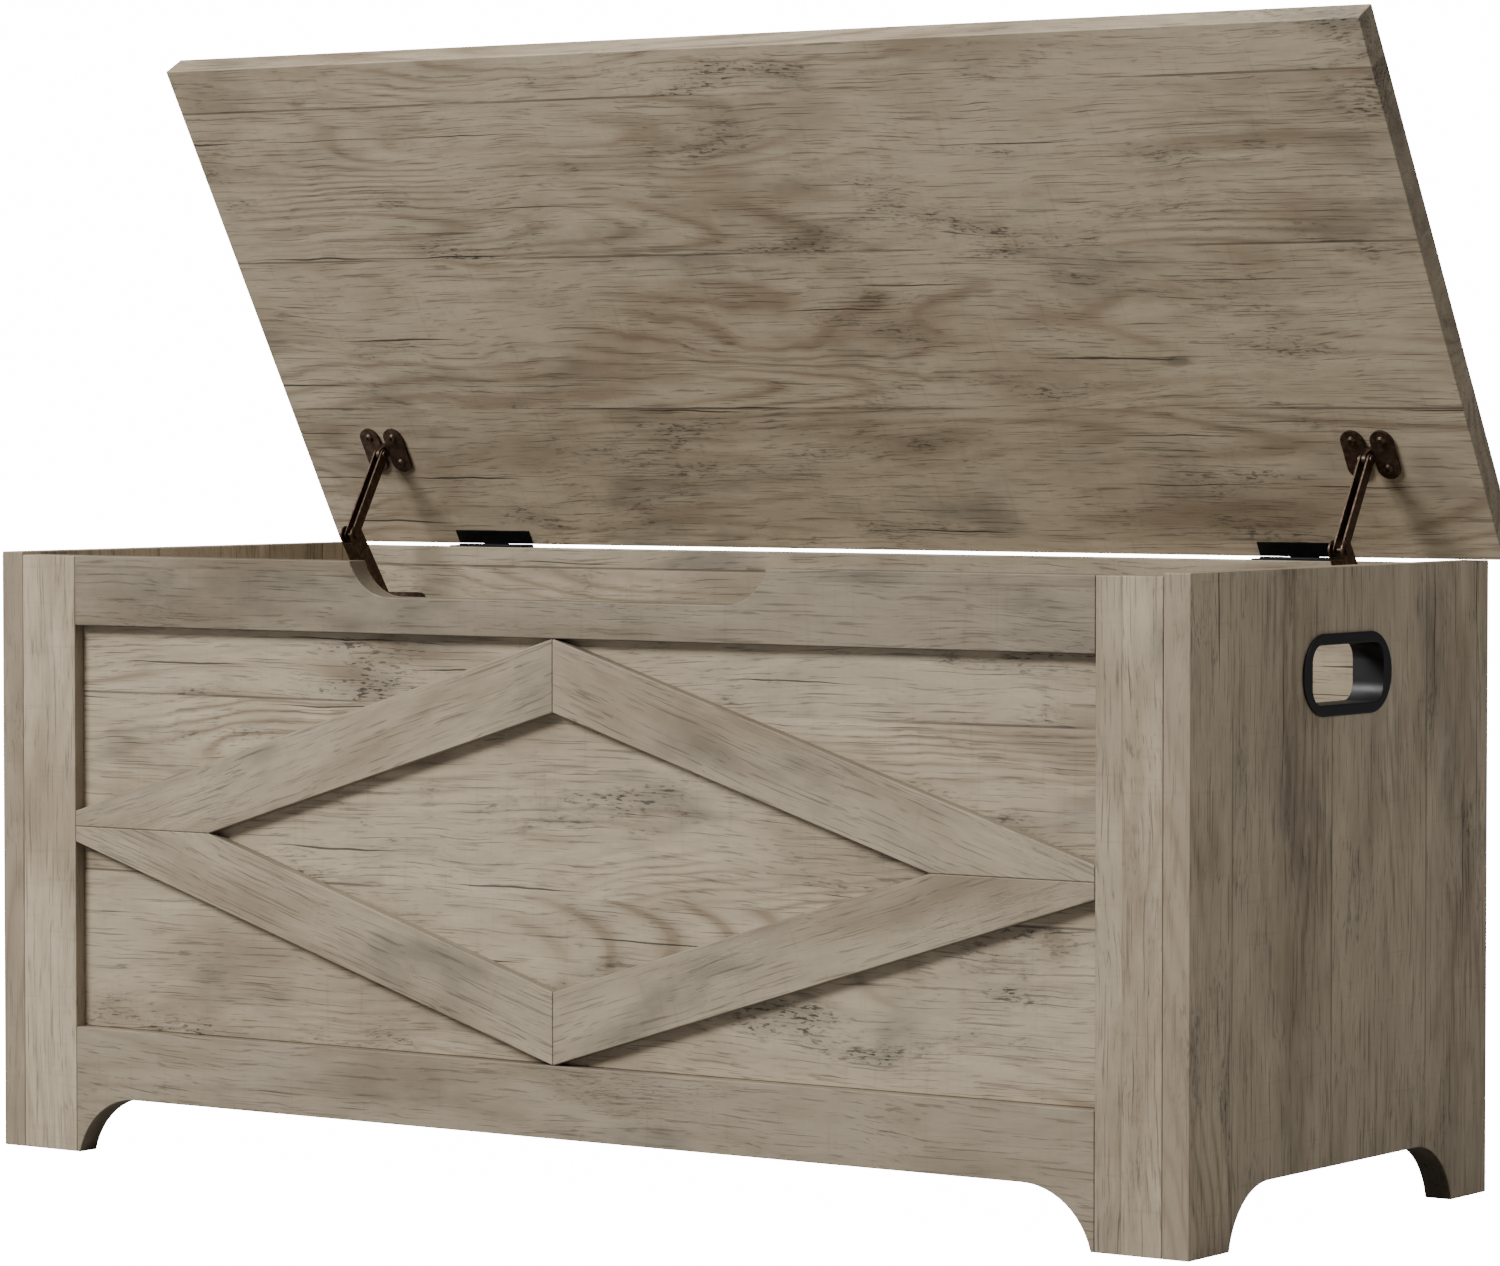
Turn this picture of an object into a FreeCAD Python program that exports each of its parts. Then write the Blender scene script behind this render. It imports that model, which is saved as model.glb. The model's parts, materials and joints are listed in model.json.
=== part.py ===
import FreeCAD, Part
import math
import os

import Sketcher

# Wooden toy box with a hinged lid, held open by two folding stays.
# Millimetres. +X runs to the box's right, +Y to its back, +Z up; the floor is Z = 0.
# The origin is on the floor, midway across the box and midway between its front face
# and the rearmost edge of the open lid. The lid is drawn open, as it stands on its stays.

SIZES = {
    # the box
    "body_width": 1000,
    "body_depth": 396,
    "body_height": 432,
    "front_reach": 208,  # from the origin forward to the front face
    "side_board": 20,
    "top_drop": 2.2,  # front frame and back panel stop this far below the side panels
    "edge_round": 0.9,
    "overlap": 1,  # how far the parts of one solid run into each other
    # the front: stiles and rails around a recessed panel
    "frame_board": 18,
    "stile_width": 50,
    "top_rail_height": 50,
    "bottom_rail_height": 90.5,
    "front_panel_board": 9,
    "strip_height": 50,  # of a diamond strip, measured upright
    "strip_slope": 0.3105,
    "notch_width": 352,
    "notch_depth": 24.6,
    "notch_run": 34,
    "arch_height": 40.6,
    "front_foot": 3,  # of the bottom rail, beside each stile
    "front_arch_run": 52,
    "side_foot": 50,
    "side_arch_run": 50,
    # the back and the bottom
    "back_board": 15,
    "bottom_board": 15,
    "bottom_top": 75,
    "cleat_width": 20,
    "cleat_height": 18,
    "cleat_inset": 12,
    # handle openings, lined with plastic
    "handle_drop": 70,  # from the top of the side panel to the opening's middle
    "handle_length": 95,
    "handle_height": 39,
    "handle_corner": 12,
    "sleeve_wall": 2,
    "sleeve_past": 1.5,  # how far the sleeve passes the panel's inner face
    "flange_margin": 10.5,
    "flange_side": 7.5,
    "flange_board": 2.5,
    "flange_round": 1.1,
    "rim_flat": 0.1,  # half the straight left between a rim's round corners
    "ring_margin": 8,
    "ring_side": 6,
    "ring_board": 2,
    # the lid
    "lid_width": 1020,
    "lid_depth": 412,
    "lid_board": 20,
    "lid_angle": 60,
    # butt hinges: leaves between the back panel's top and the lid
    "hinge_behind": 2.0,  # axis behind the back panel
    "hinge_below": 2.0,  # axis below the lid's underside
    "hinge_gap": 0.8,  # axis behind the lid's rear edge
    "hinge_place": 355,
    "hinge_length": 70,
    "leaf_width": 13,
    "leaf_board": 1.0,
    "knuckle_radius": 1.9,
    "knuckle_clear": 0.25,
    "hinge_pin_radius": 0.9,
    "running_gap": 0.05,
    # folding stays: each is a parallelogram with the lid as its long side
    "stay_place": 430,
    "ear_forward": 84.5,  # ear pivot in front of the hinge axis, lid closed
    "ear_below": 8,  # ear pivot below the lid's underside, lid closed
    "link_back": 36,  # from elbow back to ear pivot
    "link_up": 61,  # from elbow up to ear pivot
    "plate": 1.2,
    "ear_board": 2.5,
    "ear_radius": 4.4,
    "upper_gap": 5.2,  # inside the upper arm's channel
    "upper_radius": 4.2,
    "upper_web_start": 0.14,  # of the arm's length, from the elbow
    "upper_web_end": 0.78,
    "lower_gap": 8.6,  # inside the lower arm's channel
    "lower_radius": 7,
    "lower_web_start": 0.04,
    "lower_web_end": 0.94,
    "base_gap": 13,  # between the base bracket's ears
    "base_plate": 3,
    "base_ear": 2,
    "base_height": 50,
    "base_width": 40,
    "base_corner": 6,
    "base_radius": 9,
    "base_screw_across": 14,  # from the bracket's middle
    "base_screw_up": 18,
    "rivet_radius": 1.8,
    "rivet_head": 3.2,
    "rivet_head_height": 1.1,
    "ear_rivet_play": 0.3,
    "open_pivot_gap": 0.6,
    "washer_board": 0.8,
    "washer_radius": 6.5,
    "bracket_length": 37.5,
    "bracket_board": 2,
    "bracket_wing": 17.6,
    "bracket_wing_apart": 5.2,
    "bracket_bridge": 11.5,
    "bracket_screw_across": 22.8,
    "bracket_screw_along": 22,
    # fasteners
    "dowel_radius": 4,
    "dowel_length": 30,
    "dowel_edge": 12,  # from a rail's edge
    "dowel_apart": 24,
    "stile_dowel_low": 130,
    "stile_dowel_high": 302,
    "cam_bolt_radius": 3,
    "cam_bolt_seat": 11,  # its length inside the side panel
    "cam_radius": 7.5,
    "cam_deep": 12,
    "cam_place": 34,  # from the side panel's inner face
    "cam_low": 121,
    "cam_high": 311,
    "cam_reach": 111,  # from the bottom panel's middle
    "screw_radius": 1.7,
    "screw_head": 3.6,
    "screw_crown": 2.5,  # radius of a pan head's flat top
    "screw_head_height": 1.8,
    "screw_length": 12,
    "recess_length": 3.4,
    "recess_width": 0.8,
    "recess_depth": 0.9,
    "leaf_screw_radius": 1.3,
    "leaf_screw_head": 2.4,
    "leaf_screw_length": 11,
    "leaf_screw_across": 7.5,  # from the hinge axis
    "leaf_screw_apart": 23,
    "cleat_screw_length": 28,
    "cleat_screw_apart": 139,
}

doc = FreeCAD.newDocument("toy_box")
sheet = doc.addObject("Spreadsheet::Sheet", "Sizes")
for row, (alias, amount) in enumerate(SIZES.items(), start=1):
    cell = f"B{row}"
    sheet.set(f"A{row}", alias.replace("_", " "))
    sheet.set(cell, str(amount))
    sheet.setAlias(cell, alias)
doc.recompute()


class Size:
    """A length that keeps its number together with its formula over the sheet's cells."""

    def __init__(self, number, formula=None):
        self.number = float(number)
        self.formula = formula or repr(float(number))

    def __add__(self, other):
        other = as_size(other)
        return Size(self.number + other.number, f"({self.formula} + {other.formula})")

    def __sub__(self, other):
        other = as_size(other)
        return Size(self.number - other.number, f"({self.formula} - {other.formula})")

    def __mul__(self, other):
        other = as_size(other)
        return Size(self.number * other.number, f"({self.formula} * {other.formula})")

    def __truediv__(self, other):
        other = as_size(other)
        return Size(self.number / other.number, f"({self.formula} / {other.formula})")

    def __neg__(self):
        return self * -1


def as_size(value):
    return value if isinstance(value, Size) else Size(value)


def size(alias):
    return Size(sheet.get(alias), f"Sizes.{alias}")


def sine(angle):
    return Size(math.sin(math.radians(angle.number)), f"sin({angle.formula})")


def cosine(angle):
    return Size(math.cos(math.radians(angle.number)), f"cos({angle.formula})")


def opened(across, up):
    """A place beside the hinge axis, drawn lid closed, turned with the lid to its open angle."""
    turn = size("lid_angle")
    return (
        across * cosine(turn) + up * sine(turn),
        up * cosine(turn) - across * sine(turn),
    )


def tangent_radius(run, rise):
    """Radius of an arc that leaves a level edge smoothly and falls by rise within run."""
    return (run * run + rise * rise) / (rise * 2)


# ---------------------------------------------------------------- places named once

half_width = size("body_width") / 2
inner_x = half_width - size("side_board")
stile_x = inner_x - size("stile_width")
front_y = -size("front_reach")
back_y = front_y + size("body_depth")
frame_back_y = front_y + size("frame_board")
recess_y = frame_back_y - size("front_panel_board")
back_inner_y = back_y - size("back_board")
frame_mid_y = front_y + size("frame_board") / 2
middle_y = front_y + size("body_depth") / 2
top_z = size("body_height")
frame_top_z = top_z - size("top_drop")
rail_under_z = frame_top_z - size("top_rail_height")
rail_over_z = size("bottom_rail_height")
handle_z = top_z - size("handle_drop")
bottom_z = size("bottom_top") - size("bottom_board")

hinge_y = back_y + size("hinge_behind")
hinge_z = top_z - size("hinge_below")
base_pivot_y = hinge_y - size("link_back")
base_pivot_z = hinge_z - size("link_up")

# In the lid's frame the hinge axis is zero: lengths run back and up with the lid closed.
lid_under = size("hinge_below")
lid_rear = -size("hinge_gap")
ear_y = -size("ear_forward")
ear_z = lid_under - size("ear_below")

open_ear_y, open_ear_z = opened(ear_y, ear_z)
elbow_y = base_pivot_y + open_ear_y
elbow_z = base_pivot_z + open_ear_z

SIDES = (("left", -1), ("right", 1))

# ---------------------------------------------------------------- ways of making


def move(thing, y=None, z=None, turned=False):
    """Puts a part's frame at a pivot, and turns it with the lid if it swings with it."""
    if turned:
        axis = FreeCAD.Vector(-1, 0, 0)
        angle = size("lid_angle")
        turn = FreeCAD.Rotation(axis, angle.number)
        thing.Placement = FreeCAD.Placement(FreeCAD.Vector(), turn)
        thing.setExpression("Placement.Rotation.Angle", angle.formula)
    for letter, place in (("y", y), ("z", z)):
        if place is not None:
            thing.setExpression(f"Placement.Base.{letter}", place.formula)
    return thing


def with_lid(thing):
    return move(thing, hinge_y, hinge_z, turned=True)


def with_lower_arm(thing):
    return move(thing, base_pivot_y, base_pivot_z, turned=True)


def with_upper_arm(thing):
    return move(thing, elbow_y, elbow_z)


ZERO = 1e-9  # below this a length counts as nothing


def bind(sketch, kind, geometry, place):
    """Holds one coordinate of a point to its formula, or to the axis where it is zero."""
    if abs(place.number) < ZERO:
        axis = -2 if kind == "DistanceX" else -1
        sketch.addConstraint(Sketcher.Constraint("PointOnObject", *geometry, axis))
        return
    index = sketch.addConstraint(
        Sketcher.Constraint(kind, -1, 1, *geometry, place.number)
    )
    sketch.setExpression(f"Constraints[{index}]", place.formula)


def bent_side(start, end, radius, turn):
    """The arc of a side: turn is 1 where the outline bends to its left, -1 to its right."""
    chord = end - start
    across = FreeCAD.Vector(-chord.y, chord.x, 0).normalize() * turn
    lift = math.sqrt(max(radius**2 - (chord.Length / 2) ** 2, 0))
    centre = (start + end) / 2 + across * lift
    first, last = (start, end) if turn > 0 else (end, start)
    angles = [math.atan2(p.y - centre.y, p.x - centre.x) for p in (first, last)]
    circle = Part.Circle(centre, FreeCAD.Vector(0, 0, 1), radius)
    return Part.ArcOfCircle(circle, *angles)


def draw(sketch, corners):
    """A closed outline. A corner is (across, up), or (across, up, radius, turn) where the
    side that leaves it is an arc."""
    points = [FreeCAD.Vector(c[0].number, c[1].number, 0) for c in corners]
    ends = []
    for i, corner in enumerate(corners):
        start, end = points[i], points[(i + 1) % len(points)]
        if len(corner) == 2:
            side = sketch.addGeometry(Part.LineSegment(start, end))
            ends.append(((side, 1), (side, 2)))
            continue
        radius, turn = corner[2:]
        side = sketch.addGeometry(bent_side(start, end, radius.number, turn))
        ends.append(((side, 1), (side, 2)) if turn > 0 else ((side, 2), (side, 1)))
    for i, corner in enumerate(corners):
        leaving, arriving = ends[i][0], ends[i - 1][1]
        sketch.addConstraint(Sketcher.Constraint("Coincident", *arriving, *leaving))
        bind(sketch, "DistanceX", leaving, corner[0])
        bind(sketch, "DistanceY", leaving, corner[1])
    for (leaving, _), corner in zip(ends, corners):
        if len(corner) == 4:
            radius = corner[2]
            index = sketch.addConstraint(
                Sketcher.Constraint("Radius", leaving[0], radius.number)
            )
            sketch.setExpression(f"Constraints[{index}]", radius.formula)


def draw_circle(sketch, across, up, radius):
    centre = FreeCAD.Vector(across.number, up.number, 0)
    circle = Part.Circle(centre, FreeCAD.Vector(0, 0, 1), radius.number)
    ring = sketch.addGeometry(circle)
    bind(sketch, "DistanceX", (ring, 3), across)
    bind(sketch, "DistanceY", (ring, 3), up)
    index = sketch.addConstraint(Sketcher.Constraint("Radius", ring, radius.number))
    sketch.setExpression(f"Constraints[{index}]", radius.formula)


PLANES = {"x": "YZ_Plane", "y": "XZ_Plane", "z": "XY_Plane"}


def pad(body, axis, low, high, outlines=(), circles=(), feature="PartDesign::Pad"):
    """Adds to a body a slab that lies square to an axis, between low and high on it."""
    plane = next(p for p in body.Origin.OriginFeatures if p.Role == PLANES[axis])
    sketch = body.newObject("Sketcher::SketchObject", f"{body.Name}_outline")
    sketch.AttachmentSupport = (plane, [""])
    sketch.MapMode = "FlatFace"
    # the XZ plane looks forward, so its slab starts at the rear
    start = -high if axis == "y" else low
    sketch.setExpression("AttachmentOffset.Base.z", start.formula)
    for corners in outlines:
        draw(sketch, corners)
    for circle in circles:
        draw_circle(sketch, *circle)
    slab = body.newObject(feature, f"{body.Name}_slab")
    slab.Profile = sketch
    slab.setExpression("Length", (high - low).formula)
    if feature == "PartDesign::Pocket":
        slab.Reversed = True
    sketch.Visibility = False
    return slab


def new_body(label):
    body = doc.addObject("PartDesign::Body", label)
    body.Label = label
    return body


def ease(body, radius):
    """Rounds every edge of the body."""
    doc.recompute()
    tip = body.Tip
    rounding = body.newObject("PartDesign::Fillet", f"{body.Name}_easing")
    rounding.Base = (tip, [""])
    rounding.UseAllEdges = True
    rounding.setExpression("Radius", radius.formula)
    body.Tip = rounding


def board(label, axis, low, high, *outlines):
    """A wooden board with eased edges."""
    body = new_body(label)
    pad(body, axis, low, high, outlines)
    ease(body, size("edge_round"))
    return body


def rectangle(left, low, right, high):
    return [(left, low), (right, low), (right, high), (left, high)]


def rounded(across, up, width, height, radius):
    """A rectangle about (across, up) with round corners."""
    right, top = across + width / 2, up + height / 2
    left, low = across - width / 2, up - height / 2
    return [
        (left + radius, low),
        (right - radius, low, radius, 1),
        (right, low + radius),
        (right, top - radius, radius, 1),
        (right - radius, top),
        (left + radius, top, radius, 1),
        (left, top - radius),
        (left, low + radius, radius, 1),
    ]


def bar(start_y, start_z, end_y, end_z, radius):
    """The outline of a flat link with round ends about two pivots."""
    run, rise = end_y - start_y, end_z - start_z
    length = math.hypot(run.number, rise.number)
    formula = f"sqrt({run.formula} ^ 2 + {rise.formula} ^ 2)"
    reach = Size(length, formula)
    off_y, off_z = -rise / reach * radius, run / reach * radius
    along_y, along_z = run / reach * radius, rise / reach * radius
    return [
        (start_y - off_y, start_z - off_z),
        (end_y - off_y, end_z - off_z, radius, 1),
        (end_y + along_y, end_z + along_z, radius, 1),
        (end_y + off_y, end_z + off_z),
        (start_y + off_y, start_z + off_z, radius, 1),
        (start_y - along_y, start_z - along_z, radius, 1),
    ]


TURNS = {
    "x": FreeCAD.Rotation(FreeCAD.Vector(0, 1, 0), 90),
    "-x": FreeCAD.Rotation(FreeCAD.Vector(0, 1, 0), -90),
    "y": FreeCAD.Rotation(FreeCAD.Vector(1, 0, 0), -90),
    "-y": FreeCAD.Rotation(FreeCAD.Vector(1, 0, 0), 90),
    "z": FreeCAD.Rotation(),
    "-z": FreeCAD.Rotation(FreeCAD.Vector(1, 0, 0), 180),
}


def rod(axis, place, length, radius, end_radius=None):
    """A round bar from place along axis, or a cone if it ends at another radius."""
    if end_radius is None:
        thing = doc.addObject("Part::Cylinder", "rod")
        thing.setExpression("Radius", as_size(radius).formula)
    else:
        thing = doc.addObject("Part::Cone", "cone")
        thing.setExpression("Radius1", as_size(radius).formula)
        thing.setExpression("Radius2", as_size(end_radius).formula)
    thing.setExpression("Height", as_size(length).formula)
    thing.Placement = FreeCAD.Placement(FreeCAD.Vector(), TURNS[axis])
    for letter, where in zip("xyz", place):
        thing.setExpression(f"Placement.Base.{letter}", as_size(where).formula)
    return thing


def fused(label, *things):
    if len(things) == 1:
        things[0].Label = label
        return things[0]
    joined = doc.addObject("Part::MultiFuse", label)
    joined.Label = label
    joined.Shapes = list(things)
    return joined


def group(label, things):
    """Several alike pieces that share one name."""
    compound = doc.addObject("Part::Compound", label)
    compound.Label = label
    compound.Links = things
    return compound


def cut(label, thing, *tools):
    """The thing with its holes, each drilled by what sits in it."""
    thing.Label = f"{label} blank"
    for tool in tools:
        result = doc.addObject("Part::Cut", label)
        result.Base = thing
        result.Tool = tool
        thing = result
    thing.Label = label
    return thing


def span(hand, near, far):
    """Low and high of a stretch from near to far out to one hand."""
    return (near, far) if hand > 0 else (-far, -near)


# ---------------------------------------------------------------- fasteners in the box


def frame_dowels():
    """Dowels along X: side panel to stile, and stile to both rails."""
    length = size("dowel_length")
    edge, apart = size("dowel_edge"), size("dowel_apart")
    top_rail = [rail_under_z + edge, frame_top_z - edge]
    bottom_rail = [rail_over_z - edge - apart, rail_over_z - edge]
    stile = [size("stile_dowel_low"), size("stile_dowel_high")]
    rows = ((inner_x, stile), (stile_x, top_rail + bottom_rail))
    pegs = []
    for _, hand in SIDES:
        for seam, heights in rows:
            for z in heights:
                start = seam * hand - length / 2
                place = (start, frame_mid_y, z)
                pegs.append(rod("x", place, length, size("dowel_radius")))
    return group("frame_dowels", pegs)


def cam_places():
    """Where a cam sits: its middle across, back and up, and the way it is pressed in."""
    cam_x = inner_x - size("cam_place")
    back_mid_y = back_y - size("back_board") / 2
    bottom_mid_z = size("bottom_top") - size("bottom_board") / 2
    for _, hand in SIDES:
        for z in (size("cam_low"), size("cam_high")):
            yield hand, "y", (cam_x * hand, back_inner_y, z), (back_mid_y, z)
        for y in (middle_y - size("cam_reach"), middle_y + size("cam_reach")):
            yield hand, "z", (cam_x * hand, y, bottom_z), (y, bottom_mid_z)


def cam_fittings():
    """Bolts from the side panels into round cams in the back and bottom panels."""
    bolts, cams = [], []
    far = inner_x + size("cam_bolt_seat")
    near = inner_x - size("cam_place") + size("cam_radius")
    for hand, way, cam_place, (bolt_y, bolt_z) in cam_places():
        cams.append(rod(way, cam_place, size("cam_deep"), size("cam_radius")))
        low, high = span(hand, near, far)
        place = (low, bolt_y, bolt_z)
        bolts.append(rod("x", place, high - low, size("cam_bolt_radius")))
    return group("cam_bolts", bolts), group("cam_locks", cams)


def cross_recess(axis, place):
    """A cross sunk into a screw's head, along Y or Z."""
    x, y, z = place
    arms = []
    lengths = size("recess_length"), size("recess_width")
    for long, wide in (lengths, lengths[::-1]):
        arm = doc.addObject("Part::Box", "recess_arm")
        arm.setExpression("Length", long.formula)
        arm.setExpression("Width", wide.formula)
        arm.setExpression("Height", size("recess_depth").formula)
        arm.Placement = FreeCAD.Placement(FreeCAD.Vector(), TURNS[axis])
        corner = {
            "y": (x - long / 2, y, z + wide / 2),
            "z": (x - long / 2, y - wide / 2, z),
        }[axis]
        for letter, where in zip("xyz", corner):
            arm.setExpression(f"Placement.Base.{letter}", where.formula)
        arms.append(arm)
    return fused("recess", *arms)


def pan_screw(axis, place, shank_place):
    """A screw whose pan head starts at place and whose shank starts inside the head."""
    shank = rod(axis, shank_place, size("screw_length"), size("screw_radius"))
    height = size("screw_head_height")
    head = rod(axis, place, height, size("screw_crown"), size("screw_head"))
    return cut("screw", fused("screw", shank, head), cross_recess(axis, place))


def cleat_screws():
    screws = []
    length = size("cleat_screw_length")
    start = inner_x - size("cleat_width")
    z = bottom_z - size("cleat_height") / 2
    for _, hand in SIDES:
        for step in (-1, 0, 1):
            y = middle_y + size("cleat_screw_apart") * step
            way = "x" if hand > 0 else "-x"
            shank = rod(way, (start * hand, y, z), length, size("screw_radius"))
            head = rod(
                way,
                (start * hand, y, z),
                size("screw_head_height"),
                size("screw_head"),
                size("screw_radius"),
            )
            screws.append(fused("screw", shank, head))
    return group("cleat_screws", screws)


def hinge_screws(start_z, way):
    """Three flat-headed screws per leaf, flush with its face, about the hinge axis."""
    screws = []
    across = -size("leaf_screw_across")
    for _, hand in SIDES:
        for step in (-1, 0, 1):
            x = size("hinge_place") * hand + size("leaf_screw_apart") * step
            place = (x, across, start_z)
            shank = rod(
                way, place, size("leaf_screw_length"), size("leaf_screw_radius")
            )
            head = rod(
                way,
                place,
                size("leaf_board"),
                size("leaf_screw_head"),
                size("leaf_screw_radius"),
            )
            screws.append(fused("screw", shank, head))
    return group("drawn hinge screws", screws)


def stay_base_screws():
    """Screws that hold each stay's base bracket to the back panel."""
    screws = []
    plate_face = back_inner_y - size("base_plate")
    for _, hand in SIDES:
        for across, up in ((-1, -1), (1, -1), (-1, 1), (1, 1)):
            x = size("stay_place") * hand + size("base_screw_across") * across
            z = base_pivot_z + size("base_screw_up") * up
            y = plate_face - size("screw_head_height")
            screws.append(pan_screw("y", (x, y, z), (x, y + size("overlap"), z)))
    return group("stay_base_screws", screws)


def stay_lid_screws():
    """Screws that hold each stay's lid bracket under the lid, in the lid's frame."""
    screws = []
    plate_face = lid_under - size("bracket_board")
    for _, hand in SIDES:
        for across, along in ((-1, -1), (1, -1), (-1, 1), (1, 1)):
            x = size("stay_place") * hand + size("bracket_screw_across") / 2 * across
            y = ear_y + size("bracket_screw_along") / 2 * along
            z = plate_face - size("screw_head_height")
            screws.append(pan_screw("z", (x, y, z), (x, y, z + size("overlap"))))
    return group("drawn lid bracket screws", screws)


# ---------------------------------------------------------------- the wooden boards


def side_panel(hand, tools):
    """Full-height side with a low arch between its feet and a handle opening."""
    name = "right" if hand > 0 else "left"
    foot, run = size("side_foot"), size("side_arch_run")
    rise = size("arch_height")
    radius = tangent_radius(run, rise)
    floor = Size(0)
    outline = [
        (front_y, floor),
        (front_y + foot, floor, radius, -1),
        (front_y + foot + run, rise),
        (back_y - foot - run, rise, radius, -1),
        (back_y - foot, floor),
        (back_y, floor),
        (back_y, top_z),
        (front_y, top_z),
    ]
    wall = size("sleeve_wall")
    hole = rounded(
        middle_y,
        handle_z,
        size("handle_length") + wall * 2,
        size("handle_height") + wall * 2,
        size("handle_corner") + wall,
    )
    label = f"{name}_side_panel"
    low, high = span(hand, inner_x, half_width)
    return cut(label, board(label, "x", low, high, outline, hole), *tools)


def front_stile(hand, dowels):
    name = "right" if hand > 0 else "left"
    label = f"{name}_front_stile"
    low, high = span(hand, stile_x, inner_x)
    outline = rectangle(low, Size(0), high, frame_top_z)
    return cut(label, board(label, "y", front_y, frame_back_y, outline), dowels)


def front_top_rail(dowels):
    """Rail with a shallow finger notch in its upper edge."""
    label = "front_top_rail"
    run, depth = size("notch_run"), size("notch_depth")
    radius = tangent_radius(run, depth)
    edge = size("notch_width") / 2
    floor = frame_top_z - depth
    outline = [
        (-stile_x, rail_under_z),
        (stile_x, rail_under_z),
        (stile_x, frame_top_z),
        (edge, frame_top_z, radius, -1),
        (edge - run, floor),
        (-edge + run, floor, radius, -1),
        (-edge, frame_top_z),
        (-stile_x, frame_top_z),
    ]
    return cut(label, board(label, "y", front_y, frame_back_y, outline), dowels)


def front_bottom_rail(dowels):
    """Rail with a long low arch between two slivers of foot."""
    label = "front_bottom_rail"
    run, rise = size("front_arch_run"), size("arch_height")
    radius = tangent_radius(run, rise)
    foot = stile_x - size("front_foot")
    floor = Size(0)
    outline = [
        (-stile_x, floor),
        (-foot, floor, radius, -1),
        (-foot + run, rise),
        (foot - run, rise, radius, -1),
        (foot, floor),
        (stile_x, floor),
        (stile_x, rail_over_z),
        (-stile_x, rail_over_z),
    ]
    return cut(label, board(label, "y", front_y, frame_back_y, outline), dowels)


def front_panel():
    outline = rectangle(-stile_x, rail_over_z, stile_x, rail_under_z)
    return board("front_panel", "y", recess_y, frame_back_y, outline)


def diamond_strips():
    """Four strips that meet mitred above, below and at the stiles."""
    middle = (rail_under_z + rail_over_z) / 2
    slope, height = size("strip_slope"), size("strip_height")
    half = rail_under_z - middle
    tip = half - stile_x * slope
    inner = (half - height) / slope
    strips = []
    for name, hand in SIDES:
        for level, up in (("upper", 1), ("lower", -1)):
            outline = [
                (Size(0), middle + half * up),
                (stile_x * hand, middle + tip * up),
                (stile_x * hand, middle),
                (inner * hand, middle),
                (Size(0), middle + (half - height) * up),
            ]
            label = f"{level}_{name}_diamond_strip"
            strips.append(board(label, "y", front_y, recess_y, outline))
    return strips


def back_panel(tools):
    outline = rectangle(-inner_x, size("arch_height"), inner_x, frame_top_z)
    label = "back_panel"
    return cut(label, board(label, "y", back_inner_y, back_y, outline), *tools)


def bottom_panel(tools):
    outline = rectangle(-inner_x, frame_back_y, inner_x, back_inner_y)
    label = "bottom_panel"
    blank = board(label, "z", bottom_z, size("bottom_top"), outline)
    return cut(label, blank, *tools)


def bottom_cleat(hand, screws):
    """Stick under the bottom panel, screwed to the side panel."""
    name = "right" if hand > 0 else "left"
    low, high = span(hand, inner_x - size("cleat_width"), inner_x)
    inset = size("cleat_inset")
    outline = rectangle(low, frame_back_y + inset, high, back_inner_y - inset)
    label = f"{name}_bottom_cleat"
    blank = board(label, "z", bottom_z - size("cleat_height"), bottom_z, outline)
    return cut(label, blank, screws)


def lid_board(tools):
    half = size("lid_width") / 2
    outline = rectangle(-half, lid_rear - size("lid_depth"), half, lid_rear)
    blank = board("lid_board", "z", lid_under, lid_under + size("lid_board"), outline)
    return with_lid(cut("lid_board", blank, *tools))


# ---------------------------------------------------------------- handle openings


def handle_sleeve(hand):
    """Plastic lining with a rounded lip on the outside of the side panel."""
    name = "right" if hand > 0 else "left"
    wall, corner = size("sleeve_wall"), size("handle_corner")
    length, height = size("handle_length"), size("handle_height")
    opening = rounded(middle_y, handle_z, length, height, corner)
    outside = rounded(
        middle_y, handle_z, length + wall * 2, height + wall * 2, corner + wall
    )
    rim_height = height + size("flange_side") * 2
    rim = rounded(
        middle_y,
        handle_z,
        length + size("flange_margin") * 2,
        rim_height,
        rim_height / 2 - size("rim_flat"),
    )
    body = new_body(f"{name}_handle_sleeve")
    low, high = span(hand, half_width, half_width + size("flange_board"))
    pad(body, "x", low, high, [rim, opening])
    ease(body, size("flange_round"))
    low, high = span(hand, inner_x - size("sleeve_past"), half_width + size("overlap"))
    pad(body, "x", low, high, [outside, opening])
    return body


def handle_ring(hand):
    """Retaining ring on the inside of the side panel, around the sleeve's end."""
    name = "right" if hand > 0 else "left"
    wall = size("sleeve_wall")
    length = size("handle_length") + wall * 2
    height = size("handle_height") + wall * 2
    corner = size("handle_corner") + wall
    hole = rounded(middle_y, handle_z, length, height, corner)
    rim_height = height + size("ring_side") * 2
    rim = rounded(
        middle_y,
        handle_z,
        length + size("ring_margin") * 2,
        rim_height,
        rim_height / 2 - size("rim_flat"),
    )
    body = new_body(f"{name}_handle_ring")
    low, high = span(hand, inner_x - size("ring_board"), inner_x)
    pad(body, "x", low, high, [rim, hole])
    return body


# ---------------------------------------------------------------- hinges


def knuckle_thirds(hand):
    """The three stretches of a hinge's barrel, with a small gap between them."""
    centre, length = size("hinge_place") * hand, size("hinge_length")
    gap = size("knuckle_clear")
    start = centre - length / 2
    for third in range(3):
        low = start + length / 3 * third
        yield low + gap / 2, low + length / 3 - gap / 2


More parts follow.
